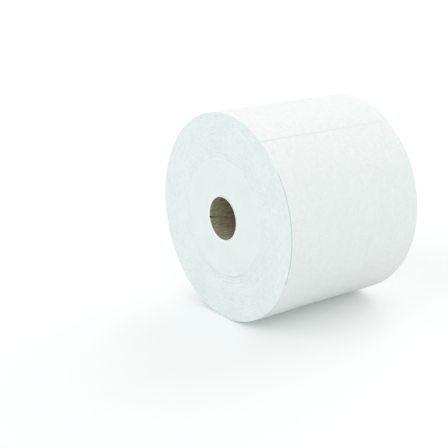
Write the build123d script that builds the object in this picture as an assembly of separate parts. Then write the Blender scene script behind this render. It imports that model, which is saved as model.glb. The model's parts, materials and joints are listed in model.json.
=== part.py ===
from build123d import *

import math
import os

# A roll of toilet tissue that lies on its side. One long web of paper is wound on a cardboard
# tube, and the log is sawn to length, so that paper and tube end flush.
# Units are millimetres. The roll is drawn standing on its far end, with its axis along +Z, and is
# tipped over at the end: the axis then lies along Y, the near end faces -Y, and the origin is the
# middle of the tube's bore.
# Angles are measured around the axis from +X, which stays level, through the top of the roll.

# Driving dimensions
ROLL_WIDTH = 99.0
ROLL_DIAMETER = 127.0
CORE_BORE = 26.2
CORE_WALL = 0.8
GLUE_LINE = 0.1  # between the tube and the first turn

# The free edge of the paper, and the step where it ends on the turn below
TAIL_ANGLE = 57.0
TAIL_STEP = 0.35

# The small flat that the soft roll's own weight presses into it, and its rounded shoulders
FLAT_HALF_WIDTH = 7.0
FLAT_SHOULDER = 12.0
FLAT_ANGLE = 270.0

# The saw leaves the rims slightly soft
RIM_BEVEL = 0.6

# The winding tension changed part of the way out, and the turns outside slipped back along the tube
SLIP_DIAMETER = 72.0
SLIP = 0.4

# Turns drawn on the ends: each line stands for a few dozen turns of thin paper
LINE_WIDTH = 0.9
LINE_DEPTH = 0.3
LINE_MARGIN = 1.3  # land left beside the tube, the slip and the rim
LINE_TURNS_INSIDE = 3
LINE_TURNS_OUTSIDE = 4

# Sizes that follow
HALF_TURN = 180.0
QUARTER_TURN = 90.0
roll_radius = ROLL_DIAMETER / 2
bore_radius = CORE_BORE / 2
core_radius = bore_radius + CORE_WALL
web_bore_radius = core_radius + GLUE_LINE
slip_radius = SLIP_DIAMETER / 2
near_end = ROLL_WIDTH / 2
far_end = -ROLL_WIDTH / 2


def toward(angle, distance):
    """The point at a distance from the axis, at an angle around it."""
    turn = math.radians(angle)
    return Vector(distance * math.cos(turn), distance * math.sin(turn))


def spiral_half_turns(outer_radius, pitch, half_turns, angle):
    """Centre, radius and start angle of each half-turn of a two-centre spiral, from the outside in.

    The web winds inward from its free edge at the given angle. Each half-turn is an arc that is
    half a pitch smaller than the one before and tangent to it.
    """
    centre = Vector(0, 0)
    radius = outer_radius
    for _ in range(half_turns):
        yield centre, radius, angle
        angle += HALF_TURN
        centre += toward(angle, pitch / 2)
        radius -= pitch / 2


def flattened_arc(centre, radius, start_angle, end_angle):
    """The outline of a half-turn that the roll rests on: arc, shoulder, flat, shoulder, arc."""
    to_shoulder = radius - FLAT_SHOULDER
    shoulder_angle = math.degrees(math.asin(FLAT_HALF_WIDTH / to_shoulder))
    before = FLAT_ANGLE - shoulder_angle
    after = FLAT_ANGLE + shoulder_angle
    into_flat = CenterArc(centre + toward(before, to_shoulder), FLAT_SHOULDER, before, shoulder_angle)
    out_of_flat = CenterArc(
        centre + toward(after, to_shoulder), FLAT_SHOULDER, FLAT_ANGLE, shoulder_angle
    )
    return [
        CenterArc(centre, radius, start_angle, before - start_angle),
        into_flat,
        Line(into_flat @ 1, out_of_flat @ 0),
        out_of_flat,
        CenterArc(centre, radius, after, end_angle - after),
    ]


def half_log(centre, radius, start_angle):
    """Half of the wound log, cut through the free edge's line, with its rims bevelled."""
    end_angle = start_angle + HALF_TURN
    if start_angle < FLAT_ANGLE < end_angle:
        outline = flattened_arc(centre, radius, start_angle, end_angle)
    else:
        outline = [CenterArc(centre, radius, start_angle, HALF_TURN)]
    chord = Line(outline[-1] @ 1, outline[0] @ 0)
    half = Pos(Z=far_end - SLIP) * extrude(make_face(outline + [chord]), amount=ROLL_WIDTH)
    end_edges = half.edges().filter_by(Plane.XY)
    chords = end_edges.filter_by(GeomType.LINE).sort_by(SortBy.LENGTH)[-2:]
    return chamfer(end_edges - chords, RIM_BEVEL)


def wound_log():
    """The whole log: two half-turns of its outermost layer, which meet smoothly on one side and
    leave the free edge's step on the other."""
    outer, inner = spiral_half_turns(roll_radius, TAIL_STEP, 2, TAIL_ANGLE)
    return half_log(*outer) + half_log(*inner)


def turn_line(centre, radius, start_angle, end, outward):
    """A cutter for half a turn of the V-shaped line between two turns, on one end of the roll.

    The end is its height along the axis. Outward is +1 on the near end and -1 on the far end.
    """
    across_the_line = Plane(
        origin=centre + Vector(0, 0, end),
        x_dir=toward(start_angle, 1),
        z_dir=toward(start_angle - QUARTER_TURN, 1),
    )
    section = Polyline(
        (radius, -outward * LINE_DEPTH),
        (radius + LINE_WIDTH, outward * LINE_DEPTH),
        (radius - LINE_WIDTH, outward * LINE_DEPTH),
        close=True,
    )
    return revolve(across_the_line * make_face(section), Axis(centre, (0, 0, 1)), HALF_TURN)


def turn_lines(inner_edge, outer_edge, turns, end, outward):
    """Cutters for the spiral line in one band of turns, on one end of the roll."""
    inner = inner_edge + LINE_MARGIN
    outer = outer_edge - LINE_MARGIN
    pitch = (outer - inner) / turns
    arcs = spiral_half_turns(outer, pitch, 2 * turns, TAIL_ANGLE)
    return [turn_line(*arc, end, outward) for arc in arcs]


def tissue_web():
    """The wound paper: one continuous web, so one solid."""
    through = ROLL_WIDTH + 4 * abs(SLIP)
    outer_turns = wound_log() - Cylinder(slip_radius, through)
    inner_turns = Cylinder(slip_radius, ROLL_WIDTH)
    web = outer_turns + inner_turns - Cylinder(web_bore_radius, through)
    for end, outward in ((near_end, 1), (far_end, -1)):
        web -= turn_lines(web_bore_radius, slip_radius, LINE_TURNS_INSIDE, end, outward)
        web -= turn_lines(slip_radius, roll_radius, LINE_TURNS_OUTSIDE, end - SLIP, outward)
    return web


def core_tube():
    """The cardboard tube, wound from strips of board and sawn off flush with the paper."""
    return Cylinder(core_radius, ROLL_WIDTH) - Cylinder(bore_radius, ROLL_WIDTH)


def laid_on_its_side(standing):
    """Tips the roll over so that its axis lies along Y and its near end faces -Y."""
    return Rot(X=90) * standing


os.makedirs("parts", exist_ok=True)
for name, shape in (("tissue_web", tissue_web()), ("core_tube", core_tube())):
    laid = laid_on_its_side(shape)
    laid.label = name
    export_step(laid, f"parts/{name}.step")
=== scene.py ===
"""A roll of toilet tissue that lies on its side: its looks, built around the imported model.

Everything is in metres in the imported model's frame. The roll's axis lies along Y, its near end
faces -Y and +Z is up. Angles run around the axis from +X, through the top of the roll, in radians.
The web of paper winds inward from its free edge with the angle.
"""

import json
import logging
import math
from dataclasses import dataclass
from enum import Enum

import bmesh
import bpy
import numpy as np
from bpy.types import ID, Material, Node, NodeSocket, NodeTree, Object
from mathutils import Euler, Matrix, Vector


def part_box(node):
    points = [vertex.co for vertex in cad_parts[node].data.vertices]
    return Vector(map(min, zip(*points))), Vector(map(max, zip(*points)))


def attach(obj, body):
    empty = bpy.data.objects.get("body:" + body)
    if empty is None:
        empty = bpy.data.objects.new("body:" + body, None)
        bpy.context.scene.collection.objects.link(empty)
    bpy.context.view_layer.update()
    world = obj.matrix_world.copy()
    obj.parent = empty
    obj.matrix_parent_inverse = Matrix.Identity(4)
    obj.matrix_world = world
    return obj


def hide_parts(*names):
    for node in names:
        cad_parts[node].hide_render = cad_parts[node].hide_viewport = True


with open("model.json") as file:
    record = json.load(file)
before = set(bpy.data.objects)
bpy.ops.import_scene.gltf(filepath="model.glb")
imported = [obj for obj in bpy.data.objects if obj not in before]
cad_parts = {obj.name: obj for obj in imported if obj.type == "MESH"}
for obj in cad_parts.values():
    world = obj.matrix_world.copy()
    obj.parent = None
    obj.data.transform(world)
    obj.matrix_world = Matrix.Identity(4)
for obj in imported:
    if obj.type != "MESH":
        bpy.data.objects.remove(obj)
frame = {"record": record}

MM = 0.001
FULL_TURN = 2 * math.pi
BOTTOM = 1.5 * math.pi  # angle of the roll's lowest place
SHARP_ANGLE = math.radians(50)
BODY = "root"
WHITE = "#FFFFFF"
# Numbers of the two colour inputs of a mix, which share their names with other inputs
FIRST_COLOUR = 6
SECOND_COLOUR = 7
log = logging.getLogger("toilet_tissue_roll")


class End(Enum):
    """The two ends of the roll, by the direction that each faces along Y."""

    NEAR = -1
    FAR = 1


class Slot(Enum):
    """The record's material slots."""

    TISSUE = "tissue"
    BOARD = "core_board"


def linear(colour: str) -> tuple[float, float, float, float]:
    """Turns an sRGB hex colour into linear light.

    Args:
        colour: six hex digits after a hash mark.

    Returns:
        Linear red, green and blue, with an alpha of 1.
    """
    levels = [int(colour[i : i + 2], 16) / 255 for i in (1, 3, 5)]
    red, green, blue = (c / 12.92 if c <= 0.04045 else ((c + 0.055) / 1.055) ** 2.4 for c in levels)
    return red, green, blue, 1.0


def add_node(tree: NodeTree, kind: str, settings: dict[str | int, object] | None = None) -> Node:
    """Adds a node with its settings and links.

    Args:
        tree: the tree that gets the node.
        kind: the node's type, without the words that every type here begins with.
        settings: what the node's own properties hold, by name, and what its inputs hold, by name
            or number: a value, a colour as sRGB hex, or the output or node that feeds the input.
            A node feeds it by the first of its outputs that is in use.

    Returns:
        The new node.
    """
    node = tree.nodes.new(f"ShaderNode{kind}")
    for key, value in (settings or {}).items():
        if isinstance(key, str) and key in node.bl_rna.properties:
            setattr(node, key, value)
        elif isinstance(value, Node):
            tree.links.new(next(output for output in value.outputs if output.enabled), node.inputs[key])
        elif isinstance(value, NodeSocket):
            tree.links.new(value, node.inputs[key])
        else:
            node.inputs[key].default_value = linear(value) if isinstance(value, str) else value
    return node


def new_material(name: str) -> tuple[Material, NodeTree]:
    """Makes a material with an empty node tree.

    Args:
        name: the material's name.

    Returns:
        The material and its tree.
    """
    material = bpy.data.materials.new(name)
    material.use_nodes = True
    material.node_tree.nodes.clear()
    return material, material.node_tree


def new_object(name: str, data: ID) -> Object:
    """Makes an object and puts it in the scene.

    Args:
        name: the object's name.
        data: its mesh, lens or light.

    Returns:
        The new object.
    """
    made = bpy.data.objects.new(name, data)
    bpy.context.scene.collection.objects.link(made)
    return made


def smooth_step(value: np.ndarray) -> np.ndarray:
    """A smooth ramp from 0 to 1 as the value goes from 0 to 1."""
    held = np.clip(value, 0.0, 1.0)
    return held * held * (3 - 2 * held)


def fading(distance: np.ndarray, reach: float, power: int = 1) -> np.ndarray:
    """Falls from 1 at no distance to 0 at the reach, and stays there."""
    return np.clip(1 - distance / reach, 0, 1) ** power


def angle_apart(angle: np.ndarray, middle: float) -> np.ndarray:
    """How far angles lie from a middle one, the shorter way round."""
    return np.abs(np.mod(angle - middle + math.pi, FULL_TURN) - math.pi)


def at_angle(radius: np.ndarray, angle: np.ndarray, along: np.ndarray) -> np.ndarray:
    """Points at a radius and an angle around the axis, and a place along it."""
    return np.stack(np.broadcast_arrays(radius * np.cos(angle), along, radius * np.sin(angle)), axis=-1)


@dataclass(frozen=True)
class SoftNoise:
    """A smooth random field on a surface of revolution, which closes on itself around the axis.

    It is a sum of cosine waves. The shortest and longest waves are lengths across the surface, in
    metres, and the counts are how many waves go once round. The field mostly stays within its
    swing of its mean.
    """

    seed: int
    fewest_round: int
    most_round: int
    shortest: float
    longest: float
    waves: int = 32
    mean: float = 0.0
    swing: float = 1.0

    def at(self, angle: np.ndarray | float, across: np.ndarray | float, series: int = 0) -> np.ndarray:
        """The field's value.

        Args:
            angle: angle around the axis.
            across: place along the axis, or radius on an end.
            series: a number that stands for one of several fields of this kind.

        Returns:
            One value for each place.
        """
        rng = np.random.default_rng(self.seed + series)
        total = np.zeros(np.broadcast(angle, across).shape)
        for _ in range(self.waves):
            rounds = rng.integers(self.fewest_round, self.most_round + 1) * rng.choice((-1, 1))
            length = math.exp(rng.uniform(math.log(self.shortest), math.log(self.longest)))
            total += np.cos(rounds * angle + FULL_TURN * across / length + rng.uniform(0, FULL_TURN))
        return self.mean + self.swing * (total / math.sqrt(self.waves))


@dataclass(frozen=True)
class RollSizes:
    """The roll's real sizes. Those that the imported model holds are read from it."""

    roll_radius: float
    web_bore_radius: float
    core_radius: float
    bore_radius: float
    width: float
    slip: float
    glue_line: float = 0.1 * MM
    tail_angle: float = math.radians(57)
    tail_step: float = 0.35 * MM
    sheet_length: float = 101.6 * MM
    sheet_thickness: float = 0.127 * MM
    settling_length: float = 14 * MM
    slip_radius: float = 36 * MM
    flat_half_width: float = 7 * MM
    flat_shoulder: float = 12 * MM
    rim_round: float = 0.9 * MM
    rim_squareness: float = 6.0  # 2 rounds the rim as a quarter circle, more keeps it crisper
    points_per_arc: int = 721  # of the outline

    @classmethod
    def from_frame(cls, record: dict) -> "RollSizes":
        """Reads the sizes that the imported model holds.

        Args:
            record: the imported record.

        Returns:
            The roll's sizes.
        """
        _, web_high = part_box("tissue_web")
        _, core_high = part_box("core_tube")
        bore = next(m for m in record["mounts"] if m["name"] == "core_bore")
        return cls(
            roll_radius=web_high.z,
            web_bore_radius=core_high.z + cls.glue_line,
            core_radius=core_high.z,
            bore_radius=bore["dims"]["r_mm"] * MM,
            width=2 * core_high.y,
            slip=web_high.y - core_high.y,
        )

    @property
    def sheet_angle(self) -> float:
        """The angle that one sheet takes up on the outside of the roll."""
        return self.sheet_length / self.roll_radius

    @property
    def resting_height(self) -> float:
        """Height of the floor under the roll's flat."""
        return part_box("tissue_web")[0].z

    def end_plane(self, end: End) -> float:
        """Place along the axis of the outer turns' cut edges on one end."""
        return end.value * self.width / 2 + self.slip

    def rim_curve(self, turn: np.ndarray) -> np.ndarray:
        """Distance of the rim from the middle of its rounding, by the turn from the end's side."""
        power = self.rim_squareness
        return self.rim_round * (np.cos(turn) ** power + np.sin(turn) ** power) ** (-1 / power)

    def rim_drop(self, along: np.ndarray) -> np.ndarray:
        """How far the rim's rounding takes the outside down.

        Args:
            along: place along the axis.

        Returns:
            The drop at each place.
        """
        over = np.abs(along - self.slip) - (self.width / 2 - self.rim_round)
        share = np.clip(over / self.rim_round, 0, 1) ** self.rim_squareness
        return self.rim_round * (1 - (1 - share) ** (1 / self.rim_squareness))

    def wound_angle(self, angle: np.ndarray) -> np.ndarray:
        """The angle from the free edge on, from nought to a full turn."""
        return np.mod(angle - self.tail_angle, FULL_TURN)

    def settling(self, distance: np.ndarray) -> np.ndarray:
        """How far inside the outline the last sheet lies, at a distance from its free edge."""
        spare = self.tail_step - self.sheet_thickness
        return spare * (1 - smooth_step(distance / self.settling_length))

    def outline(self, angle: np.ndarray) -> np.ndarray:
        """The radius of the log at an angle, with its flat, and its step at the free edge.

        The outline is two half-turns. The second is smaller than the first by half the step and
        has its centre as far off the axis, and it holds the flat and its rounded shoulders.

        Args:
            angle: angle around the axis.

        Returns:
            The radius at each angle.
        """
        samples = np.linspace(0, 1, self.points_per_arc)
        half = self.tail_step / 2
        radius = self.roll_radius - half
        turned = self.tail_angle + math.pi
        centre = half * np.array([math.cos(turned), math.sin(turned)])
        lean = math.asin(self.flat_half_width / (radius - self.flat_shoulder))
        last = self.tail_angle + FULL_TURN
        flat = np.full(samples.size, -self.flat_shoulder)

        def arc(middle: np.ndarray, size: float, start: float, stop: float) -> np.ndarray:
            """Points of an arc."""
            turn = start + (stop - start) * samples
            return middle[:, None] + size * np.stack([np.cos(turn), np.sin(turn)])

        def shoulder(turn: float) -> np.ndarray:
            """Centre of the rounded shoulder that starts or ends at this angle."""
            return centre + (radius - self.flat_shoulder) * np.array([math.cos(turn), math.sin(turn)])

        points = np.concatenate(
            [
                arc(np.zeros(2), self.roll_radius, self.tail_angle, turned),
                arc(centre, radius, turned, BOTTOM - lean),
                arc(shoulder(BOTTOM - lean), self.flat_shoulder, BOTTOM - lean, BOTTOM),
                shoulder(BOTTOM - lean)[:, None] + np.stack([2 * self.flat_half_width * samples, flat]),
                arc(shoulder(BOTTOM + lean), self.flat_shoulder, BOTTOM, BOTTOM + lean),
                arc(centre, radius, BOTTOM + lean, last),
            ],
            axis=1,
        )
        wound = np.unwrap(np.arctan2(points[1], points[0])) - self.tail_angle
        return np.interp(self.wound_angle(angle), wound, np.hypot(*points))


@dataclass(frozen=True)
class PaperUnevenness:
    """How the soft outside of the roll departs from a true cylinder.

    Long shallow hollows come from handling. Narrow bands round the roll come from the web's
    tension. Neither shows where the roll's weight presses it flat on the floor. The soft rims droop
    a little all round, and more where they curl up off the floor. All of this only goes inward, so
    the roll keeps its size.
    """

    sizes: RollSizes
    hollows: SoftNoise = SoftNoise(11, 1, 7, 25 * MM, 90 * MM, mean=1.5)
    bands: SoftNoise = SoftNoise(12, 0, 2, 7 * MM, 18 * MM, mean=1.5)
    hollow_depth: float = 0.11 * MM
    band_depth: float = 0.03 * MM
    pressed_reach: float = math.radians(14)
    free_reach: float = math.radians(34)
    droop: float = 0.05 * MM
    droop_reach: float = 4 * MM
    curl: float = 0.5 * MM
    curl_reach: float = 3.2 * MM

    def depth(self, angle: np.ndarray, along: np.ndarray | float) -> np.ndarray:
        """How far inside the true outline the paper lies.

        Args:
            angle: angle around the axis.
            along: place along the axis.

        Returns:
            Depth in metres, for each place.
        """
        deep = self.hollow_depth * self.hollows.at(angle, along)
        fine = self.band_depth * self.bands.at(angle, along)
        off_bottom = angle_apart(angle, BOTTOM) - self.pressed_reach
        free = smooth_step(off_bottom / (self.free_reach - self.pressed_reach))
        from_rim = self.sizes.width / 2 - np.abs(along - self.sizes.slip)
        drooped = self.droop * fading(from_rim, self.droop_reach, 2)
        curled = self.curl * fading(from_rim, self.curl_reach, 2)
        return (np.clip(deep + fine, 0.0, None) + drooped) * free + curled * (1 - free)


@dataclass(frozen=True)
class CutEdges:
    """The surface that the cut edges of the turns make on one end of the roll.

    The turns inside the slip stand proud on the near end and lie deep on the far end. Each turn of
    the web lies a little above or below the next. One turn here stands for about seventeen real
    ones, because a sheet is 0.127 mm thick and would not show.
    """

    sizes: RollSizes
    end: End
    series: int
    turn_pitch: float = 2.2 * MM
    heights_per_turn: int = 13
    spare_turns: int = 3
    rough: float = 0.12 * MM
    smooth: float = 0.03 * MM
    fuzz: SoftNoise = SoftNoise(3, 4, 30, 1.6 * MM, 6 * MM, 48, mean=0.5, swing=0.35)
    patches: SoftNoise = SoftNoise(2, 0, 5, 8 * MM, 30 * MM, mean=0.6, swing=0.4)
    least_patch: float = 0.2
    groove: float = 0.15 * MM
    groove_share_inside: float = 0.2
    groove_sharpness: int = 6
    loose_offset: float = 2.4 * MM  # the turns just outside the slip lie loosest
    loose_band: float = 4 * MM
    dish: SoftNoise = SoftNoise(4, 1, 3, 60 * MM, 120 * MM, 8, mean=0.06 * MM, swing=0.06 * MM)
    inner_ring_radius: float = 32 * MM
    inner_ring_step: float = 0.12 * MM
    step_width: float = 0.35 * MM
    wander: SoftNoise = SoftNoise(1, 1, 6, 60 * MM, 90 * MM, 12, swing=0.3 * MM)
    wander_reach: float = 5 * MM
    gap_depth: float = 0.9 * MM
    gap_half_width: float = 0.5 * MM
    gap_middle: float = math.radians(240)
    gap_reach: float = math.radians(80)
    gap_opening: float = 1.6  # how soon the gap opens from its ends
    gap_elsewhere: float = 0.4
    gap_waves: SoftNoise = SoftNoise(5, 3, 14, 60 * MM, 90 * MM, 12, mean=0.7, swing=0.3)

    def wandering(self, angle: np.ndarray) -> np.ndarray:
        """How far the slip wanders off its circle."""
        return self.wander.at(angle, 0.0, self.series)

    def slip_gap(self, radius: np.ndarray, angle: np.ndarray) -> np.ndarray:
        """The gap that the slip left between its turns, widest near the floor.

        Args:
            radius: radius of each place.
            angle: angle of each place.

        Returns:
            Depth in metres.
        """
        across = fading(np.abs(radius - self.sizes.slip_radius), self.gap_half_width)
        off = angle_apart(angle, self.gap_middle) / self.gap_reach
        opened = (1 - self.gap_elsewhere) * smooth_step(self.gap_opening * (1 - off))
        uneven = self.gap_waves.at(angle, 0.0, self.series)
        return self.gap_depth * across * uneven * (self.gap_elsewhere + opened)

    def turns_over(self, radius: np.ndarray, angle: np.ndarray) -> np.ndarray:
        """How many turns lie over a place, along the true spiral of the web."""
        wound = self.sizes.wound_angle(angle) / FULL_TURN
        return (self.sizes.roll_radius - radius) / self.turn_pitch - wound

    def turn_heights(self, radius: np.ndarray, angle: np.ndarray) -> np.ndarray:
        """Height of each turn's edge, which passes into the next over half of the turn.

        Args:
            radius: radius of each place.
            angle: angle of each place.

        Returns:
            Height from 0 to 1.
        """
        rng = np.random.default_rng(self.series)
        rounds = math.ceil(self.sizes.roll_radius / self.turn_pitch) + self.spare_turns
        table = rng.uniform(0, 1, rounds * self.heights_per_turn)
        steps = np.arange(table.size) / self.heights_per_turn
        place = self.turns_over(radius, angle) + 1
        turn = np.floor(place)
        unwound = turn + self.sizes.wound_angle(angle) / FULL_TURN
        here = np.interp(unwound, steps, table)
        following = np.interp(unwound + 1, steps, table)
        return here + (following - here) * smooth_step((place - turn) * 2 - 1)

    def turn_grooves(self, radius: np.ndarray, angle: np.ndarray) -> np.ndarray:
        """Depth of the lines between turns, from 0 to 1."""
        return np.cos(math.pi * self.turns_over(radius, angle)) ** self.groove_sharpness

    def depth(self, radius: np.ndarray, angle: np.ndarray) -> np.ndarray:
        """How far the surface lies behind the outermost plane of this end.

        Args:
            radius: radius of each place.
            angle: angle of each place.

        Returns:
            Depth in metres.
        """
        sizes = self.sizes
        outside = smooth_step((radius - sizes.slip_radius) / self.step_width + 0.5)
        ringed = smooth_step((radius - self.inner_ring_radius) / self.step_width + 0.5)
        if self.end is End.NEAR:
            stepped = sizes.slip * outside + self.inner_ring_step * (ringed - outside)
            gap = self.slip_gap(radius, angle)
        else:
            stepped = sizes.slip * (1 - outside) + self.inner_ring_step * (1 - ringed)
            gap = 0.0
        patches = self.patches.at(angle, radius, self.series)
        rough = self.rough * np.clip(patches, self.least_patch, None)
        roughness = self.smooth + (rough - self.smooth) * outside
        uneven = roughness * (self.turn_heights(radius, angle) + self.fuzz.at(angle, radius, self.series))
        loosest = np.exp(-(((radius - sizes.slip_radius - self.loose_offset) / self.loose_band) ** 2))
        shown = self.groove_share_inside + (1 - self.groove_share_inside) * outside
        grooves = self.groove * (patches * shown + loosest) * self.turn_grooves(radius, angle)
        dished = self.dish.at(angle, radius, self.series)
        return np.clip(stepped + uneven + grooves + gap + dished, 0.0, None)


def mesh_from_grid(
    name: str,
    points: np.ndarray,
    row_finishes: list[int],
    finishes: tuple[Material, ...],
    close_columns: bool,
) -> Object:
    """Makes one closed mesh from rows of points that go round a section, and dresses it.

    The last row joins the first. Where the columns don't close too, both open sides are capped,
    and each row then pairs with the row as far from the end as it is from the start.

    Args:
        name: the piece's name.
        points: places by row, column and coordinate.
        row_finishes: the number of the finish of the faces between each row and the next.
        finishes: the finishes.
        close_columns: whether the last column joins the first.

    Returns:
        The new object, with smooth faces and edges kept sharp where it turns quickly.
    """
    rows, columns, _ = points.shape
    row = np.arange(rows)[:, None]
    next_row = (row + 1) % rows
    column = np.arange(columns if close_columns else columns - 1)[None, :]
    next_column = (column + 1) % columns
    corners = [(row, column), (next_row, column), (next_row, next_column), (row, next_column)]
    quads = np.stack([np.broadcast_to(a * columns + b, (rows, column.size)) for a, b in corners], axis=-1)
    faces = quads.reshape(-1, 4)
    slots = np.repeat(np.array(row_finishes), column.size)
    if not close_columns:
        outer = np.arange(rows // 2 - 1)
        inner = rows - 1 - outer
        for side in (0, columns - 1):
            cap = np.stack([outer, outer + 1, inner - 1, inner], axis=-1) * columns + side
            faces = np.concatenate([faces, cap if side == 0 else cap[:, ::-1]])
            slots = np.concatenate([slots, np.full(len(cap), row_finishes[-1])])
    mesh = bpy.data.meshes.new(name)
    mesh.from_pydata(points.reshape(-1, 3).tolist(), [], faces.tolist())
    mesh.polygons.foreach_set("material_index", slots.astype(np.int32))
    work = bmesh.new()
    work.from_mesh(mesh)
    bmesh.ops.recalc_face_normals(work, faces=work.faces)
    work.to_mesh(mesh)
    work.free()
    mesh.shade_smooth()
    mesh.set_sharp_from_angle(angle=SHARP_ANGLE)
    mesh.validate()
    for finish in finishes:
        mesh.materials.append(finish)
    return new_object(name, mesh)


@dataclass(frozen=True)
class Grain:
    """A soft random pattern in a finish, by the real size of its marks."""

    across: float  # at right angles to the roll's axis
    along: float  # along the roll's axis
    detail: float = 2.0
    roughness: float = 0.5
    distortion: float = 0.0

    def add(self, tree: NodeTree, place: NodeSocket) -> Node:
        """Adds the pattern.

        Args:
            tree: the material's tree.
            place: the place on the surface.

        Returns:
            A node that gives the pattern's height.
        """
        scale = (1 / self.across, 1 / self.along, 1 / self.across)
        scaled = add_node(tree, "Mapping", {"Scale": scale, "Vector": place})
        looks = {"Detail": self.detail, "Roughness": self.roughness, "Distortion": self.distortion}
        return add_node(tree, "TexNoise", {"Scale": 1.0, "Vector": scaled, **looks})


@dataclass(frozen=True)
class DullSurface:
    """How a surface with no gloss takes the light."""

    roughness: float
    specular: float
    relief: float  # height of the bumps
    ior: float = 1.5

    def cover(self, tree: NodeTree, colour: Node, height: Node) -> None:
        """Ends a finish with its bumps, its shader and the material's output.

        Args:
            tree: the material's tree.
            colour: what gives the colour.
            height: what gives the height of the bumps, as a share of the relief.
        """
        bump = add_node(tree, "Bump", {"Strength": 1.0, "Distance": self.relief, "Height": height})
        gloss = {"Roughness": self.roughness, "IOR": self.ior, "Specular IOR Level": self.specular}
        shader = add_node(tree, "BsdfPrincipled", {**gloss, "Base Color": colour, "Normal": bump})
        add_node(tree, "OutputMaterial", {"Surface": shader})


def colour_by(
    tree: NodeTree,
    pattern: Node,
    span: tuple[float, float],
    first: str | Node,
    second: str | Node,
    most: float = 1.0,
) -> Node:
    """Passes from one colour to another where a pattern goes from a low value to a high one.

    Args:
        tree: the material's tree.
        pattern: what gives the pattern.
        span: the low value and the high one.
        first: the colour at the low value, as sRGB hex or as the node that gives it.
        second: the colour at the high value, in the same way.
        most: how much of the second colour shows at the high value.

    Returns:
        A node that gives the colour.
    """
    ranges = {"From Min": span[0], "From Max": span[1], "To Max": most}
    share = add_node(tree, "MapRange", {**ranges, "Value": pattern})
    return add_node(tree, "Mix", {"data_type": "RGBA", 0: share, FIRST_COLOUR: first, SECOND_COLOUR: second})


@dataclass(frozen=True)
class CrepedTissue:
    """Bleached two-ply tissue, creped off a drying cylinder: the wound outside of the roll.

    Creping leaves fine irregular ridges across the web, here along the axis. The felt that carried
    the web leaves faint streaks along it, here round the roll. The eye sees a dull, slightly
    mottled white with no gloss.
    """

    paper: str = "#F7F6F5"
    thin_paper: str = "#EFF0EE"
    surface: DullSurface = DullSurface(roughness=0.93, specular=0.2, relief=0.1 * MM)
    # A crepe ridge is about 0.3 mm wide, which is too fine to show: it is drawn at 1.1 mm
    crepe: Grain = Grain(1.1 * MM, 3.2 * MM, 3.0, 0.6, 0.4)
    # A felt's threads leave marks about 0.5 mm wide, drawn at 1.2 mm for the same reason
    felt: Grain = Grain(5.0 * MM, 1.2 * MM)
    felt_share: float = 0.9
    thinnest: float = 0.7  # both are values of the crepe and the felt's share together
    thickest: float = 1.2
    perforation_width: float = 0.5 * MM
    # The cuts of a perforation are about 3 mm long, with ties of about 1 mm between them
    cut_length: float = 3.0 * MM
    tie_length: float = 1.0 * MM

    def material(self, sizes: RollSizes) -> Material:
        """Builds the finish.

        Args:
            sizes: the roll's sizes, for the places of the perforations.

        Returns:
            The material.
        """
        material, tree = new_material("creped_tissue")
        place = add_node(tree, "TexCoord").outputs["Object"]
        crepe = self.crepe.add(tree, place)
        felt = self.felt.add(tree, place)
        both = add_node(tree, "Math", {"operation": "MULTIPLY_ADD", 0: felt, 1: self.felt_share, 2: crepe})
        cuts = self.perforations(tree, place, sizes)
        height = add_node(tree, "Math", {"operation": "SUBTRACT", 0: both, 1: cuts})
        colour = colour_by(tree, both, (self.thinnest, self.thickest), self.thin_paper, self.paper)
        self.surface.cover(tree, colour, height)
        return material

    def perforations(self, tree: NodeTree, place: NodeSocket, sizes: RollSizes) -> Node:
        """Adds the rows of short cuts that part the sheets.

        Args:
            tree: the material's tree.
            place: the place on the surface.
            sizes: the roll's sizes.

        Returns:
            A node that gives 1 in a cut and 0 elsewhere.
        """
        parts = add_node(tree, "SeparateXYZ", {0: place}).outputs
        off_line = add_node(tree, "Math", {"operation": "ARCTAN2", 0: parts["Z"], 1: parts["X"]})
        half_sheet = sizes.sheet_angle / 2
        steps = {"SUBTRACT": sizes.tail_angle, "FLOORED_MODULO": FULL_TURN, "PINGPONG": half_sheet}
        for operation, value in steps.items():
            off_line = add_node(tree, "Math", {"operation": operation, 0: off_line, 1: value})
        falling = {"From Max": self.perforation_width / sizes.roll_radius, "To Min": 1.0, "To Max": 0.0}
        smoothly = {"interpolation_type": "SMOOTHSTEP", "Value": off_line}
        near_line = add_node(tree, "MapRange", {**smoothly, **falling})
        pitch = self.cut_length + self.tie_length
        from_cut = add_node(tree, "Math", {"operation": "FLOORED_MODULO", 0: parts["Y"], 1: pitch})
        in_cut = add_node(tree, "Math", {"operation": "LESS_THAN", 0: from_cut, 1: self.cut_length})
        return add_node(tree, "Math", {"operation": "MULTIPLY", 0: near_line, 1: in_cut})


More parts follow.
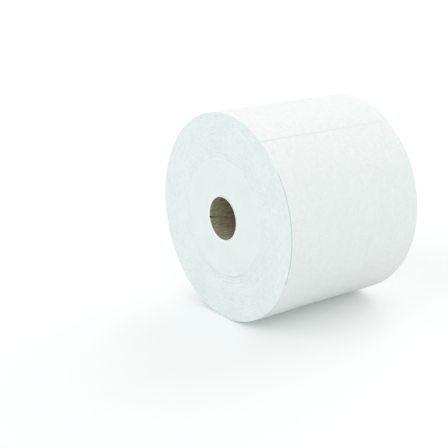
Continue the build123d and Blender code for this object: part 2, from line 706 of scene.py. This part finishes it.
@dataclass(frozen=True)
class SawnTissueEdges:
    """The cut edges of hundreds of turns of tissue, sawn through with a fast round blade.

    The blade leaves soft fuzz, a faint comb of arcs across the end, and streaks that follow the
    turns. The turns outside the slip were wound looser, so their edges look rougher. Low places
    of this relief are painted darker, a painted shade in its hollows, and a broad random grain
    varies the tone. The paper next to the tube is painted whiter, a painted highlight that rings
    the bore.
    """

    paper: str = "#F2F7F7"
    # painted shade: the colour of the relief's low places, mixed with the handling grain's random tone
    shade_and_mottle_paper: str = "#E7EFEE"
    # painted highlight: the turns next to the tube are painted whiter, as a bright ring round the bore
    painted_highlight_paper: str = "#FFFFFC"
    surface: DullSurface = DullSurface(roughness=0.97, specular=0.15, relief=0.36 * MM)
    # A sheet is 0.127 mm thick: its streaks are drawn 1.3 mm wide
    streak_width: float = 1.3 * MM
    streaks_round: float = 14.0
    streak_detail: float = 3.0
    streak_roughness: float = 0.6
    # Tufts of fuzz and the blade's marks are well under 1 mm across, and are drawn coarser to show
    fuzz: Grain = Grain(1.9 * MM, 1.9 * MM, roughness=0.6)
    fuzz_share: float = 0.8
    saw_mark_width: float = 1.6 * MM
    saw_mark_share: float = 0.2
    blade_middle: tuple[float, float, float] = (-260 * MM, 0.0, 210 * MM)
    middle_height: float = 1.0  # mean of the streaks, the fuzz and the saw marks together
    handling: Grain = Grain(16 * MM, 16 * MM, detail=1.0)
    handling_share: float = 0.6
    whitest: float = 0.6  # height and handling together, where the paper has its full colour
    tight_share: float = 0.3  # of the height, where the turns were wound tight
    looser_from: float = -1 * MM  # both places are measured outward from the slip
    looser_to: float = 2 * MM
    # where the painted highlight ring fades into the paper's own colour
    highlight_ring_from: float = 0.42 * MM  # both places are measured outward from the web's bore
    highlight_ring_to: float = 0.98 * MM

    def streaks(self, tree: NodeTree, level: Node, radius: Node) -> Node:
        """Adds the streaks that follow the turns.

        Args:
            tree: the material's tree.
            level: the place across the end.
            radius: the distance from the axis.

        Returns:
            A node that gives the streaks' height.
        """
        rings = add_node(tree, "Math", {"operation": "DIVIDE", 0: radius, 1: self.streak_width})
        ring = add_node(tree, "CombineXYZ", {1: rings})
        outward = add_node(tree, "VectorMath", {"operation": "NORMALIZE", 0: level})
        rounds = (self.streaks_round,) * 3
        streak = add_node(tree, "VectorMath", {"operation": "MULTIPLY_ADD", 0: outward, 1: rounds, 2: ring})
        looks = {"Detail": self.streak_detail, "Roughness": self.streak_roughness}
        return add_node(tree, "TexNoise", {"Scale": 1.0, "Vector": streak, **looks})

    def saw_marks(self, tree: NodeTree, level: Node) -> Node:
        """Adds the arcs that the blade left.

        Args:
            tree: the material's tree.
            level: the place across the end.

        Returns:
            A node that gives the marks' height.
        """
        reach = add_node(tree, "VectorMath", {"operation": "DISTANCE", 0: level, 1: self.blade_middle})
        marks = add_node(tree, "Math", {"operation": "DIVIDE", 0: reach, 1: self.saw_mark_width})
        return add_node(tree, "TexNoise", {"noise_dimensions": "1D", "Scale": 1.0, "W": marks})

    def material(self, sizes: RollSizes) -> Material:
        """Builds the finish.

        Args:
            sizes: the roll's sizes, for the radius of the slip and of the web's bore.

        Returns:
            The material.
        """
        material, tree = new_material("sawn_tissue_edges")
        place = add_node(tree, "TexCoord").outputs["Object"]
        level = add_node(tree, "VectorMath", {"operation": "MULTIPLY", 0: place, 1: (1.0, 0.0, 1.0)})
        radius = add_node(tree, "VectorMath", {"operation": "LENGTH", 0: level})
        height = self.streaks(tree, level, radius)
        fuzz = self.fuzz.add(tree, place)
        marks = self.saw_marks(tree, level)
        for share, pattern in ((self.fuzz_share, fuzz), (self.saw_mark_share, marks)):
            height = add_node(tree, "Math", {"operation": "MULTIPLY_ADD", 0: pattern, 1: share, 2: height})
        uneven = add_node(tree, "Math", {"operation": "SUBTRACT", 0: height, 1: self.middle_height})
        start, stop = sizes.slip_radius + self.looser_from, sizes.slip_radius + self.looser_to
        rising = {"From Min": start, "From Max": stop, "To Min": self.tight_share}
        smoothly = {"interpolation_type": "SMOOTHSTEP", "Value": radius}
        looser = add_node(tree, "MapRange", {**smoothly, **rising})
        height = add_node(tree, "Math", {"operation": "MULTIPLY", 0: uneven, 1: looser})
        handled = {0: self.handling.add(tree, place), 1: self.handling_share}
        shade = add_node(tree, "Math", {"operation": "MULTIPLY_ADD", **handled, 2: height})
        # Low places of the relief are painted darker, a painted shade in the hollows between tufts; the
        # handling grain adds random tone
        paper = colour_by(tree, shade, (0.0, self.whitest), self.shade_and_mottle_paper, self.paper)
        # A painted highlight: a whiter ring on the paper next to the bore
        pressed = (sizes.web_bore_radius + self.highlight_ring_from, sizes.web_bore_radius + self.highlight_ring_to)
        whitened = colour_by(tree, radius, pressed, self.painted_highlight_paper, paper)
        self.surface.cover(tree, whitened, height)
        return material


@dataclass(frozen=True)
class RecycledBoard:
    """Grey-brown recycled board, slit into strips and wound with glue into a tube.

    Waste paper gives it a dull speckled brown, warmer in patches, with darker fibres and pale
    flecks that lie along the strip.
    """

    name: str
    board: str
    warm_board: str
    fibre: str
    fleck: str
    surface: DullSurface = DullSurface(roughness=0.88, specular=0.25, relief=0.08 * MM)
    patches: Grain = Grain(5.0 * MM, 5.0 * MM, detail=1.0)
    patch_span: tuple[float, float] = (0.4, 0.6)
    # A paper fibre is about 0.03 mm wide and 2 mm long: bundles of them are drawn instead
    fibres: Grain = Grain(0.8 * MM, 4.0 * MM, 4.0, 0.7, 0.5)
    fibre_span: tuple[float, float] = (0.38, 0.62)
    flecks: Grain = Grain(1.2 * MM, 1.2 * MM)
    fleck_span: tuple[float, float] = (0.6, 0.75)
    fleck_share: float = 0.7

    def material(self) -> Material:
        """Builds the finish.

        Returns:
            The material.
        """
        material, tree = new_material(self.name)
        place = add_node(tree, "TexCoord").outputs["Object"]
        patches = self.patches.add(tree, place)
        fibres = self.fibres.add(tree, place)
        flecks = self.flecks.add(tree, place)
        patched = colour_by(tree, patches, self.patch_span, self.board, self.warm_board)
        fibred = colour_by(tree, fibres, self.fibre_span, self.fibre, patched)
        flecked = colour_by(tree, flecks, self.fleck_span, fibred, self.fleck, self.fleck_share)
        self.surface.cover(tree, flecked, fibres)
        return material


@dataclass(frozen=True)
class LooseTurn:
    """The outermost turn stands a little loose at the rim, on the side that faces +X.

    The gap under it shows as a thin dark line round that part of the rim.
    """

    middle: float = math.radians(7)
    reach: float = math.radians(40)
    opening: float = 2.5  # how soon the gap opens from its ends
    gap_turn: float = math.radians(48)  # place of the gap round the soft rim, from the end
    gap_half_width: float = math.radians(27)
    gap_depth: float = 1.5 * MM

    def depth(self, turn: np.ndarray, angle: np.ndarray) -> np.ndarray:
        """Depth of the gap.

        Args:
            turn: place round the rim, from 0 at the end to a right angle at the outside.
            angle: angle around the axis.

        Returns:
            Depth in metres, for each place.
        """
        off = angle_apart(angle, self.middle) / self.reach
        across = fading(np.abs(turn - self.gap_turn), self.gap_half_width)
        return self.gap_depth * smooth_step((1 - off) * self.opening) * across


@dataclass(frozen=True)
class WoundLog:
    """The wound web under its last sheet: both sawn ends, the outside, and the bore on the tube."""

    sizes: RollSizes
    unevenness: PaperUnevenness
    loose_turn: LooseTurn = LooseTurn()
    near_series: int = 21  # numbers of the random fields of each end
    far_series: int = 41
    columns: int = 360
    fold_columns: tuple[float, ...] = (0.0, 0.25, 0.5)  # extra ones past the fold
    inner_rings: int = 30
    slip_rings: int = 5
    outer_rings: int = 50
    side_rows: int = 62
    rim_rows: int = 13
    crowding: float = 0.8  # how much closer the rows on the outside lie near the rims
    fold_length: float = 0.9 * MM  # where the last sheet leaves the log
    slip_band: float = 0.5 * MM  # on each side of the slip, where rings lie closer together
    squeezed_band: float = 6 * MM  # the outermost turns, which follow the uneven outside
    sunk: float = 0.02 * MM  # of the highest turn's edge inside the true end

    def column_angles(self) -> np.ndarray:
        """Places the columns, with extra ones where the last sheet begins.

        Returns:
            Their angles, as one row.
        """
        even = self.sizes.tail_angle + FULL_TURN * np.arange(self.columns) / self.columns
        fold = self.sizes.tail_angle + self.sizes.sheet_angle
        extra = fold + np.array(self.fold_columns) * FULL_TURN / self.columns
        return np.unique(np.concatenate([even, extra]))[None, :]

    def outside(self, angle: np.ndarray) -> np.ndarray:
        """The outside of the log, which under the last sheet is lower by the sheet's thickness.

        Args:
            angle: angle around the axis.

        Returns:
            The radius at each angle.
        """
        sizes = self.sizes
        distance = sizes.wound_angle(angle) * sizes.roll_radius
        covered = 1 - smooth_step((distance - sizes.sheet_length) / self.fold_length)
        return sizes.outline(angle) - (sizes.settling(distance) + sizes.sheet_thickness) * covered

    def ring_radii(self) -> np.ndarray:
        """Places the rings on an end, closest where the outer turns slip back.

        Returns:
            Their radii.
        """
        sizes = self.sizes
        step = np.linspace(-1, 1, self.slip_rings) * self.slip_band + sizes.slip_radius
        inner = np.linspace(sizes.web_bore_radius, step[0], self.inner_rings, endpoint=False)
        outer = np.linspace(step[-1], sizes.roll_radius - sizes.rim_round, self.outer_rings + 1)[1:]
        return np.concatenate([inner, step, outer])

    def end_and_rim(self, end: End, angle: np.ndarray, series: int) -> tuple[np.ndarray, np.ndarray]:
        """Rows from the bore out over one end and round its rim.

        Args:
            end: which end of the roll.
            angle: angles of the columns.
            series: number of this end's random fields.

        Returns:
            Radius and place along the axis, by row and column.
        """
        sizes = self.sizes
        plain = self.ring_radii()[:, None]
        squeezed = plain - sizes.roll_radius + self.squeezed_band
        share = np.clip(squeezed / (self.squeezed_band - sizes.rim_round), 0, 1)
        edge = end.value * (sizes.width / 2 - sizes.rim_round) + sizes.slip
        inward = self.outside(angle) - sizes.roll_radius - self.unevenness.depth(angle, edge)
        relief = CutEdges(sizes, end, series)
        near_slip = fading(np.abs(plain - sizes.slip_radius), relief.wander_reach)
        radius = plain + share * inward + near_slip * relief.wandering(angle)
        outermost = end.value * sizes.width / 2 + (sizes.slip if end is End.FAR else 0.0)
        depth = relief.depth(plain, angle)
        face = outermost - end.value * (depth - depth.min() + self.sunk)
        turn = np.linspace(0, math.pi / 2, self.rim_rows + 1)[1:, None]
        curve = sizes.rim_curve(turn) * np.ones_like(angle)
        if end is End.NEAR:
            curve = curve - self.loose_turn.depth(turn, angle)
        rim_radius = radius[-1] + curve * np.sin(turn)
        rim = face[-1] - end.value * (sizes.rim_round - curve * np.cos(turn))
        return np.concatenate([radius, rim_radius]), np.concatenate([face, rim])

    def points(self) -> np.ndarray:
        """Goes once round the section of the log.

        Returns:
            Places by row and column.
        """
        angle = self.column_angles()
        near_radius, near_along = self.end_and_rim(End.NEAR, angle, self.near_series)
        far_radius, far_along = self.end_and_rim(End.FAR, angle, self.far_series)
        even = np.linspace(0, 1, self.side_rows + 2)[1:-1, None]
        share = even - self.crowding * np.sin(FULL_TURN * even) / FULL_TURN
        side_along = near_along[-1] + share * (far_along[-1] - near_along[-1])
        side_radius = self.outside(angle) - self.unevenness.depth(angle, side_along)
        radius = np.concatenate([near_radius, side_radius, far_radius[::-1]])
        along = np.concatenate([near_along, side_along, far_along[::-1]])
        return at_angle(radius, angle, along)

    def build(self, outside_finish: Material, end_finish: Material) -> Object:
        """Builds and dresses the log.

        Args:
            outside_finish: the finish of the wound outside.
            end_finish: the finish of both ends and the bore.

        Returns:
            The piece.
        """
        points = self.points()
        outside, ends = range(2)
        near_rows = len(self.ring_radii()) + self.rim_rows // 2
        far_rows = near_rows + 1
        side_rows = len(points) - near_rows - far_rows
        rows = [ends] * near_rows + [outside] * side_rows + [ends] * far_rows
        finishes = (outside_finish, end_finish)
        return mesh_from_grid("wound_tissue", points, rows, finishes, close_columns=True)


@dataclass(frozen=True)
class LastSheet:
    """The last sheet of the web, from its perforation to its free edge.

    It lies on the turn below and lifts a little towards the edge, more at one corner. Small torn
    ties are left along the edge, where the next sheet was taken off.
    """

    sizes: RollSizes
    unevenness: PaperUnevenness
    rows_across: int = 260
    columns_near_edge: int = 34
    columns_beyond: int = 70
    close_length: float = 16 * MM  # columns lie closer together this near the edge
    crowding: float = 1.5
    lifted_length: float = 6 * MM
    lift: float = 0.01 * MM
    lift_waves: SoftNoise = SoftNoise(63, 0, 0, 22 * MM, 70 * MM, 10, mean=1.0, swing=0.5)
    corner_lift: float = 0.03 * MM
    corner_reach: float = 0.7  # share of the edge over which the corner comes down
    corner_sharpness: int = 3
    edge_share: float = 0.4  # thickness left at the pressed free edge
    thinning_length: float = 1.5 * MM
    tie_spacing: float = 4.0 * MM
    tie_share: float = 0.28
    tie_flatness: float = 1.2  # above 1, a tie has a flat tip
    tie_length: float = 0.5 * MM
    raggedness: SoftNoise = SoftNoise(61, 0, 0, 1.1 * MM, 9 * MM, 20, mean=0.6, swing=0.4)
    edge_wander: SoftNoise = SoftNoise(62, 0, 0, 14 * MM, 60 * MM, 10, swing=0.22 * MM)
    edge_fading: int = 8  # how soon the edge's form dies out along the sheet
    side_margin: float = 0.3 * MM

    def ties(self, along: np.ndarray) -> np.ndarray:
        """The torn ties along an edge.

        Args:
            along: place along the axis.

        Returns:
            Height at each place, as a share of a tie's length.
        """
        place = np.mod(along / self.tie_spacing, 1.0)
        off_middle = np.abs(place - 0.5) / (self.tie_share / 2)
        return np.clip(self.tie_flatness - off_middle, 0, 1) * self.raggedness.at(0.0, along)

    def surfaces(self) -> tuple[np.ndarray, np.ndarray]:
        """Lays the sheet on the log.

        Returns:
            Its outer and inner surface, as places by column and row across.
        """
        sizes = self.sizes
        half = sizes.width / 2 - self.side_margin
        along = np.linspace(-half, half, self.rows_across)[None, :] + sizes.slip
        close = np.linspace(0, 1, self.columns_near_edge)[:-1] ** self.crowding * self.close_length
        beyond = np.linspace(self.close_length, sizes.sheet_length, self.columns_beyond)
        distance = np.concatenate([close, beyond])[:, None]
        edge = self.edge_wander.at(0.0, along) - self.ties(along) * self.tie_length
        arc_length = distance + edge * (1 - distance / sizes.sheet_length) ** self.edge_fading
        angle = sizes.tail_angle + arc_length / sizes.roll_radius
        near_corner = smooth_step(0.5 - (along - sizes.slip) / (2 * self.corner_reach * half))
        corner = self.corner_lift * near_corner ** self.corner_sharpness
        rise = self.lift * self.lift_waves.at(0.0, along) + corner
        settled = sizes.outline(np.maximum(angle, sizes.tail_angle)) - sizes.settling(arc_length)
        lowered = self.unevenness.depth(angle, along) + sizes.rim_drop(along) + sizes.sheet_thickness
        under = settled - lowered + rise * fading(distance, self.lifted_length, 2)
        full = smooth_step(distance / self.thinning_length)
        thickness = sizes.sheet_thickness * (self.edge_share + (1 - self.edge_share) * full)
        return at_angle(under + thickness, angle, along), at_angle(under, angle, along)

    def build(self, finish: Material) -> Object:
        """Builds and dresses the sheet.

        Args:
            finish: the finish of the whole sheet.

        Returns:
            The piece.
        """
        outer, inner = self.surfaces()
        points = np.concatenate([outer, inner[::-1]])
        return mesh_from_grid("last_sheet", points, [0] * len(points), (finish,), close_columns=False)


@dataclass(frozen=True)
class CoreTube:
    """The cardboard tube: strips of board wound at a slant, which leave a seam inside the bore."""

    sizes: RollSizes
    columns: int = 132
    rows: int = 96
    plies: int = 3
    rings_per_ply: int = 3
    outside_rows: int = 9
    seam_angle: float = math.radians(189)
    seam_lead: float = math.radians(100)  # turn of the seam from one end of the tube to the other
    seam_columns: tuple[float, ...] = (-1.2, -1.0, 1.0, 1.2)  # in halves of the seam's width
    seam_clearance: float = 3.0  # from the seam's middle to the plain columns, in the same halves
    seam_width: float = 0.95 * MM  # where it is torn open at the near mouth
    seam_depth: float = 0.12 * MM
    closed_share: float = 0.14
    torn_depth: float = 0.25 * MM
    torn_reach: float = 4.5 * MM
    softness: float = 0.05 * MM  # how far the wall waves in and out
    waves: SoftNoise = SoftNoise(71, 0, 4, 20 * MM, 60 * MM, 12, mean=0.5, swing=0.5)
    ragged_depth: float = 0.05 * MM
    raggedness: SoftNoise = SoftNoise(72, 3, 40, 0.6 * MM, 3 * MM, 30, mean=0.4, swing=0.3)
    ply_step: float = 0.3
    ring_scale: float = 3 * MM  # length of fuzz that the wall's thickness stands for

    def torn(self, along: np.ndarray) -> np.ndarray:
        """How far the seam is torn open, from 1 at the near mouth to 0 deep inside."""
        return np.exp(-(((along + self.sizes.width / 2) / self.torn_reach) ** 2))

    def column_angles(self, along: np.ndarray) -> np.ndarray:
        """Places the columns, with close ones on both sides of the seam.

        Args:
            along: places along the axis, as one column.

        Returns:
            The angle of each column past the seam, in one row for each place.
        """
        widest = self.seam_width / 2 / self.sizes.bore_radius
        half = widest * (self.closed_share + (1 - self.closed_share) * self.torn(along))
        clear = self.seam_clearance * widest
        rest = np.linspace(clear, FULL_TURN - clear, self.columns)
        return np.hstack([half * np.array([self.seam_columns]), np.tile(rest, (len(along), 1))])

    def cut_edge(self, end: End, mouth: np.ndarray, angle: np.ndarray) -> tuple[np.ndarray, np.ndarray]:
        """Rings of one sawn edge of the wall, from the bore outward.

        Args:
            end: which end of the roll.
            mouth: radius of the bore there, by column.
            angle: angles of the columns.

        Returns:
            Radius and place along the axis, by row and column.
        """
        wall = np.linspace(0, 1, self.plies * self.rings_per_ply + 1)[1:-1, None]
        fuzz = self.raggedness.at(angle, wall * self.ring_scale, end.value)
        low = self.ragged_depth * np.clip(fuzz + self.ply_step * (np.floor(wall * self.plies) % 2), 0, 1)
        return mouth + (self.sizes.core_radius - mouth) * wall, end.value * (self.sizes.width / 2 - low)

    def points(self) -> np.ndarray:
        """Goes once round the section of the tube's wall.

        Returns:
            Places by row and column.
        """
        sizes = self.sizes
        near, far = -sizes.width / 2, sizes.width / 2
        inside_along = np.linspace(near, far, self.rows)[:, None]
        outside_along = np.linspace(far, near, self.outside_rows)[:, None]
        column = self.column_angles(inside_along)
        across = np.ones(column.shape[1])
        in_seam = np.concatenate([np.abs(self.seam_columns) <= 1, np.zeros(self.columns)])
        opened = self.seam_depth + self.torn_depth * self.torn(inside_along)
        inside = sizes.bore_radius + self.softness * self.waves.at(column, inside_along) + opened * in_seam
        far_radius, far_along = self.cut_edge(End.FAR, inside[-1:], column[-1:])
        near_radius, near_along = self.cut_edge(End.NEAR, inside[:1], column[-1:])
        outside = sizes.core_radius * np.ones_like(outside_along) * across
        radius = np.concatenate([inside, far_radius, outside, near_radius[::-1]])
        along = np.concatenate([inside_along * across, far_along, outside_along * across, near_along[::-1]])
        slant = self.seam_angle + self.seam_lead * (along - near) / sizes.width
        return at_angle(radius, self.column_angles(along[:, :1]) + slant, along)

    def build(self, wall_finish: Material, cut_finish: Material, glue_and_shade_finish: Material) -> Object:
        """Builds and dresses the tube.

        Args:
            wall_finish: the finish of the walls.
            cut_finish: the finish of the sawn edges.
            glue_and_shade_finish: the finish at the bottom of the seam.

        Returns:
            The piece.
        """
        wall, cut, glue_and_shade = range(3)
        rings = self.plies * self.rings_per_ply
        rows = [wall] * (self.rows - 1) + [cut] * rings + [wall] * (self.outside_rows - 1) + [cut] * rings
        finishes = (wall_finish, cut_finish, glue_and_shade_finish)
        piece = mesh_from_grid("cardboard_tube", self.points(), rows, finishes, close_columns=True)
        # The seam's bottom is painted dark: partly glue, partly a painted shade in the gap
        seam_bottom = self.seam_columns.index(-1.0)
        for row in range(self.rows - 1):
            face = row * (len(self.seam_columns) + self.columns) + seam_bottom
            piece.data.polygons[face].material_index = glue_and_shade
        return piece


@dataclass(frozen=True)
class ViewPoint:
    """The place and lens of the camera, from the ellipses of the rims in a frame of 448 pixels.

    The line of sight is turned from the roll's axis. Distances are level, from the middle of the
    near end, and the height is over the roll's axis.
    """

    sizes: RollSizes
    frame_pixels: int = 448
    focal_pixels: float = 1005.7
    sensor: float = 36.0
    turned: float = math.radians(53.58)
    looking_down: float = math.radians(17.60)
    distance: float = 571.1 * MM
    to_the_right: float = 0.5 * MM
    height: float = 177.7 * MM

    @property
    def ahead(self) -> Vector:
        """Level direction of sight."""
        return Vector((-math.sin(self.turned), math.cos(self.turned), 0))

    @property
    def right(self) -> Vector:
        """Level direction to the right of the picture."""
        return Vector((math.cos(self.turned), math.sin(self.turned), 0))

    def build(self) -> None:
        """Makes the camera the scene's own."""
        lens = bpy.data.cameras.new("view")
        lens.sensor_width = self.sensor
        lens.lens = self.sensor * self.focal_pixels / self.frame_pixels
        camera = new_object("view", lens)
        near_middle = Vector((0, self.sizes.end_plane(End.NEAR), 0))
        camera.location = near_middle - self.distance * self.ahead + self.to_the_right * self.right
        camera.location.z = self.height
        camera.rotation_euler = Euler((math.pi / 2 - self.looking_down, 0, self.turned))
        bpy.context.scene.camera = camera


@dataclass(frozen=True)
class SoftLamp:
    """A broad studio lamp, far away, so that it lights all of the roll alike.

    Its bearing is measured from straight behind the camera, clockwise seen from above, and all of
    its angles are in degrees.
    """

    name: str
    level: float  # what it adds to a white surface that faces it
    bearing: float
    elevation: float
    width: float
    colour: str

    def build(self, view: ViewPoint) -> None:
        """Makes the lamp.

        Args:
            view: the camera that the bearing is measured from.
        """
        light = bpy.data.lights.new(self.name, "SUN")
        light.energy = self.level * math.pi
        light.color = linear(self.colour)[:3]
        light.angle = math.radians(self.width)
        bearing, elevation = math.radians(self.bearing), math.radians(self.elevation)
        outward = math.cos(bearing) * -view.ahead + math.sin(bearing) * view.right
        towards_lamp = math.cos(elevation) * outward + math.sin(elevation) * Vector((0, 0, 1))
        new_object(self.name, light).rotation_euler = towards_lamp.to_track_quat("Z", "Y").to_euler()


@dataclass(frozen=True)
class Studio:
    """A white floor that runs out of sight, a white surround, and soft lamps."""

    sizes: RollSizes
    floor_half_width: float = 6.0
    floor_seen: str = WHITE
    floor_returned: str = "#E6E6E6"  # the light that the floor throws back up on the roll
    floor_glare: str = "#F8FFFC"
    floor_glare_share: float = 0.2  # how much of the floor as it is seen is this even cool white
    surround_light: str = "#FFFDFE"
    surround_level: float = 0.76
    lamps: tuple[SoftLamp, ...] = (
        SoftLamp("left_lamp", 0.21, -60, 35, 50, "#EEFFFA"),
        SoftLamp("back_lamp", 0.26, 150, 35, 50, "#FFFEFD"),
        SoftLamp("front_lamp", 0.17, 30, 12, 50, "#D0FFFA"),
    )

    def seen_directly(self, tree: NodeTree) -> Node:
        """Adds what tells light that is seen from light on its way to another surface.

        Args:
            tree: the tree that gets the nodes.

        Returns:
            A node that gives 1 where the eye, a reflection or a clear surface shows a place.
        """
        path = add_node(tree, "LightPath").outputs
        seen = path["Is Camera Ray"]
        for ray in ("Is Glossy Ray", "Is Transmission Ray"):
            seen = add_node(tree, "Math", {"operation": "MAXIMUM", 0: seen, 1: path[ray]})
        return seen

    def floor(self) -> None:
        """Makes the floor under the roll's flat."""
        half = self.floor_half_width
        height = self.sizes.resting_height
        corners = [(x * half, y * half, height) for x, y in ((-1, -1), (1, -1), (1, 1), (-1, 1))]
        mesh = bpy.data.meshes.new("floor")
        mesh.from_pydata(corners, [], [(0, 1, 2, 3)])
        material, tree = new_material("matt_white_floor")
        seen = self.seen_directly(tree)
        colours = {FIRST_COLOUR: self.floor_returned, SECOND_COLOUR: self.floor_seen}
        colour = add_node(tree, "Mix", {"data_type": "RGBA", 0: seen, **colours})
        matt = {"Roughness": 1.0, "Specular IOR Level": 0.0}
        paint = add_node(tree, "BsdfPrincipled", {**matt, "Base Color": colour})
        glare = add_node(tree, "Emission", {"Color": self.floor_glare, "Strength": 1.0})
        share = add_node(tree, "Math", {"operation": "MULTIPLY", 0: seen, 1: self.floor_glare_share})
        surface = add_node(tree, "MixShader", {0: share, 1: paint, 2: glare})
        add_node(tree, "OutputMaterial", {"Surface": surface})
        mesh.materials.append(material)
        new_object("floor", mesh)

    def surround(self) -> None:
        """Makes the world: soft light on the roll, and plain white where it is seen."""
        world = bpy.data.worlds.new("surround")
        bpy.context.scene.world = world
        world.use_nodes = True
        tree = world.node_tree
        tree.nodes.clear()
        light = add_node(tree, "Background", {"Color": self.surround_light, "Strength": self.surround_level})
        white = add_node(tree, "Background", {"Color": WHITE, "Strength": 1.0})
        either = add_node(tree, "MixShader", {0: self.seen_directly(tree), 1: light, 2: white})
        add_node(tree, "OutputWorld", {"Surface": either})

    def build(self, view: ViewPoint) -> None:
        """Builds the floor, the surround and the lamps.

        Args:
            view: the camera that the lamps are placed from.
        """
        self.floor()
        self.surround()
        for lamp in self.lamps:
            lamp.build(view)
        bpy.context.scene.view_settings.view_transform = "Standard"


def dress(piece: Object, slot: Slot, *nodes: str) -> None:
    """Lets a piece ride with the roll and stand for its solids, and reports it.

    Args:
        piece: the finished piece.
        slot: the record's slot that its finish belongs to; not used.
        nodes: the solids that the piece stands for.
    """
    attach(piece, BODY)
    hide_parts(*nodes)
    mesh = piece.data
    mesh.calc_loop_triangles()
    log.info("%s: %d triangles, for %s", piece.name, len(mesh.loop_triangles), ", ".join(nodes))


def main() -> None:
    """Builds the roll and its studio."""
    logging.basicConfig(level=logging.INFO, format="%(name)s: %(message)s")
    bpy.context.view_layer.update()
    sizes = RollSizes.from_frame(frame["record"])
    view = ViewPoint(sizes)
    view.build()
    Studio(sizes).build(view)

    creped = CrepedTissue().material(sizes)
    sawn = SawnTissueEdges().material(sizes)
    # The board's sawn edges are painted near white, a painted highlight that rings the bore
    bore_board = RecycledBoard("recycled_board", "#BCB99E", "#C5B79E", "#8B856C", "#D4CEB8").material()
    sawn_board = RecycledBoard("sawn_board_painted_highlight", "#FEFEF9", "#FEFDF7", "#FAFAF1", "#FFFFFD").material()
    # The seam's bottom is painted dark: partly its glue, partly a painted shade in the gap
    glue_and_shade_board = RecycledBoard("glue_and_painted_shade_board", "#6E6650", "#6A5E4A", "#524B39", "#7C735C").material()

    unevenness = PaperUnevenness(sizes)
    dress(WoundLog(sizes, unevenness).build(creped, sawn), Slot.TISSUE, "tissue_web")
    dress(LastSheet(sizes, unevenness).build(creped), Slot.TISSUE, "tissue_web")
    dress(CoreTube(sizes).build(bore_board, sawn_board, glue_and_shade_board), Slot.BOARD, "core_tube")


if __name__ == "__main__":
    main()
